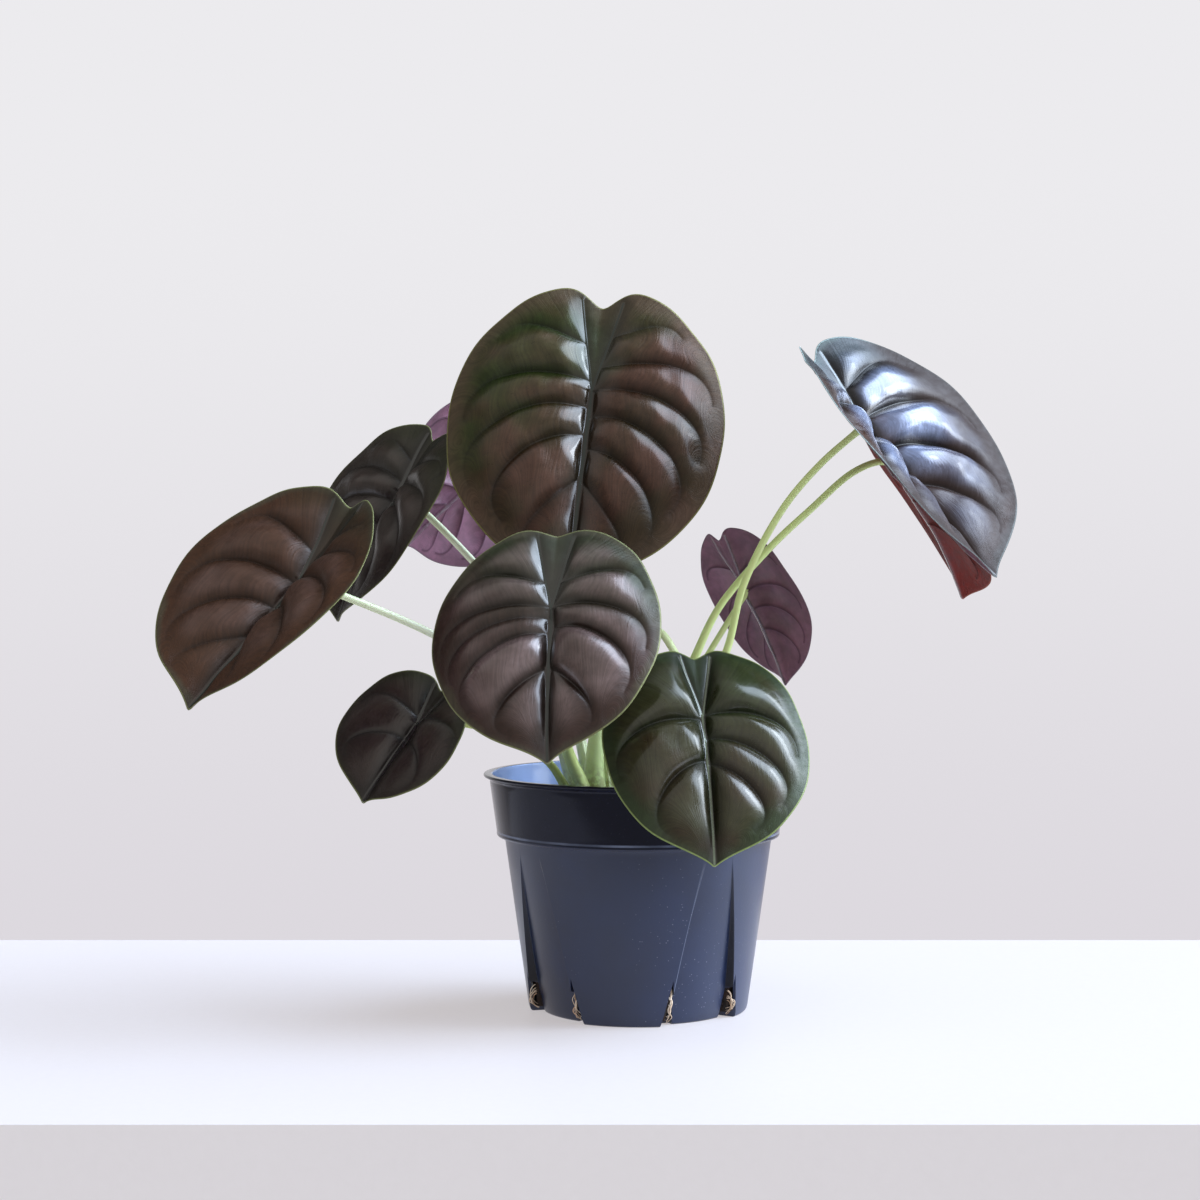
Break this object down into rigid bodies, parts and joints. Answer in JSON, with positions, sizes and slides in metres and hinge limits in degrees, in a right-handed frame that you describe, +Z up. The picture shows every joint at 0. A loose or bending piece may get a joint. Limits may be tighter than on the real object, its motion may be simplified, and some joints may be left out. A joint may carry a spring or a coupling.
{
  "type": "potted red secret alocasia",
  "caption": "Young potted alocasia with glossy, puckered red-brown and green leaves on arching pale stems, in a plain black nursery pot with a collar and slits.",
  "frame": {"origin": "centre of the flat underside of the pot, on the surface that it stands on", "axes": "+Z up; +X to the right and -Y towards the viewer, as the plant is seen from the front"},
  "size_m": [0.3278, 0.1681, 0.2801],
  "materials": {
    "pot_plastic": "satin",
    "potting_mix": "matte",
    "crown": "satin",
    "petiole": "satin",
    "leaf_olive": "gloss",
    "leaf_copper": "gloss",
    "leaf_green": "gloss",
    "leaf_dark": "gloss",
    "leaf_silver": "gloss",
    "leaf_purple": "satin",
    "leaf_red": "satin",
    "root": "matte"
  },
  "bodies": {
    "root": {"nursery_pot": "pot_plastic", "potting_mix": "potting_mix", "crown": "crown", "leaf_top": "leaf_olive", "leaf_center": "leaf_copper", "leaf_front": "leaf_green", "leaf_left": "leaf_copper", "leaf_left_rear": "leaf_dark", "leaf_rear": "leaf_purple", "leaf_small": "leaf_dark", "leaf_right": "leaf_silver", "leaf_right_under": "leaf_red", "leaf_right_rear": "leaf_purple", "petiole_top": "petiole", "petiole_center": "petiole", "petiole_front": "petiole", "petiole_left": "petiole", "petiole_left_rear": "petiole", "petiole_rear": "petiole", "petiole_small": "petiole", "petiole_right": "petiole", "petiole_right_under": "petiole", "petiole_right_rear": "petiole", "root_1": "root", "root_2": "root", "root_3": "root", "root_4": "root", "root_5": "root", "root_6": "root", "root_7": "root", "root_8": "root"}
  },
  "joints": []
}
